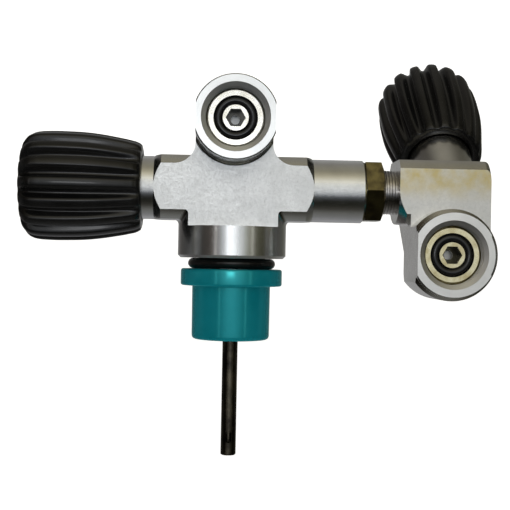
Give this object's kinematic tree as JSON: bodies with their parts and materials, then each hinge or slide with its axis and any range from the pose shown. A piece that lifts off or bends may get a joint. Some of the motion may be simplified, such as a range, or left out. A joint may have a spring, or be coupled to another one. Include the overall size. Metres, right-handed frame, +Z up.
{
  "type": "scuba cylinder valve",
  "caption": "Scuba cylinder valve with a neck thread, dip tube and thread cap, a lobed handwheel, and a second swivelling outlet valve on a threaded side arm.",
  "frame": {"origin": "centre of the collar's underside, on the neck thread's axis, where the valve seats on a cylinder neck", "axes": "+Z up along the neck thread axis, +X along the arm to the second valve, both outlets face -Y"},
  "size_m": [0.1735, 0.0824, 0.1497],
  "materials": {
    "main_body_plate": "satin plated brass",
    "second_body_plate": "satin plated brass",
    "tube_plate": "machined brass",
    "nut_brass": "dark machined brass",
    "bonnet_plate": "plated brass",
    "insert_plate": "plated brass",
    "stem_brass": "machined",
    "seal_rubber": "matte",
    "grip_rubber": "satin moulded",
    "hub_plastic": "moulded",
    "seat_plastic": "machined",
    "spring_steel": "stainless",
    "dip_tube_steel": "polished",
    "cap_plastic": "semi-gloss moulded"
  },
  "bodies": {
    "main_valve": {"main_body": "main_body_plate", "neck_oring": "seal_rubber", "dip_tube": "dip_tube_steel", "main_bonnet": "bonnet_plate", "main_bonnet_oring": "seal_rubber", "main_thrust_washer": "seat_plastic", "main_outlet_insert": "insert_plate", "main_insert_face_oring": "seal_rubber", "main_insert_rear_oring": "seal_rubber"},
    "main_handwheel": {"main_stem": "stem_brass", "main_stem_orings": "seal_rubber", "main_knob_core": "hub_plastic", "main_knob_grip": "grip_rubber", "main_knob_spring": "spring_steel", "main_knob_washer": "spring_steel", "main_knob_nut": "spring_steel", "main_knob_plug": "hub_plastic"},
    "main_seat": {"main_seat_carrier": "stem_brass", "main_seat_disc": "seat_plastic"},
    "second_valve": {"second_body": "second_body_plate", "extension_tube": "tube_plate", "extension_orings": "seal_rubber", "second_bonnet": "bonnet_plate", "second_bonnet_oring": "seal_rubber", "second_thrust_washer": "seat_plastic", "second_outlet_insert": "insert_plate", "second_insert_face_oring": "seal_rubber", "second_insert_rear_oring": "seal_rubber"},
    "second_handwheel": {"second_stem": "stem_brass", "second_stem_orings": "seal_rubber", "second_knob_core": "hub_plastic", "second_knob_grip": "grip_rubber", "second_knob_spring": "spring_steel", "second_knob_washer": "spring_steel", "second_knob_nut": "spring_steel", "second_knob_plug": "hub_plastic"},
    "second_seat": {"second_seat_carrier": "stem_brass", "second_seat_disc": "seat_plastic"},
    "lock_nut": {"lock_nut": "nut_brass"},
    "thread_cap": {"thread_cap": "cap_plastic"}
  },
  "joints": [
    {"name": "main_handwheel_turn", "type": "hinge", "parent": "main_valve", "child": "main_handwheel", "pos_m": [-0.0137, 0, 0.025], "axis": [-1, 0, 0], "range_deg": [0, 990]},
    {"name": "main_seat_lift", "type": "slide", "parent": "main_handwheel", "child": "main_seat", "axis": [-1, 0, 0], "range_m": [0, 0.00345]},
    {"name": "second_valve_swivel", "type": "hinge", "parent": "main_valve", "child": "second_valve", "pos_m": [0.052, 0, 0.025], "axis": [1, 0, 0], "range_deg": [-180, 180]},
    {"name": "second_handwheel_turn", "type": "hinge", "parent": "second_valve", "child": "second_handwheel", "pos_m": [0.0787, 0.00112, 0.02599], "axis": [0, 0.749, 0.6626], "range_deg": [0, 990]},
    {"name": "second_seat_lift", "type": "slide", "parent": "second_handwheel", "child": "second_seat", "axis": [0, 0.749, 0.6626], "range_m": [0, 0.00345]},
    {"name": "lock_nut_turn", "type": "hinge", "parent": "second_valve", "child": "lock_nut", "pos_m": [0.0508, 0, 0.025], "axis": [1, 0, 0], "range_deg": [0, 60]},
    {"name": "thread_cap_off", "type": "slide", "parent": "main_valve", "child": "thread_cap", "axis": [0, 0, -1], "range_m": [0, 0.07]}
  ],
  "couplings": [
    {"joint": "main_seat_lift", "follows": "main_handwheel_turn", "m_per_rad": 0.00019894},
    {"joint": "second_seat_lift", "follows": "second_handwheel_turn", "m_per_rad": 0.00019894}
  ]
}
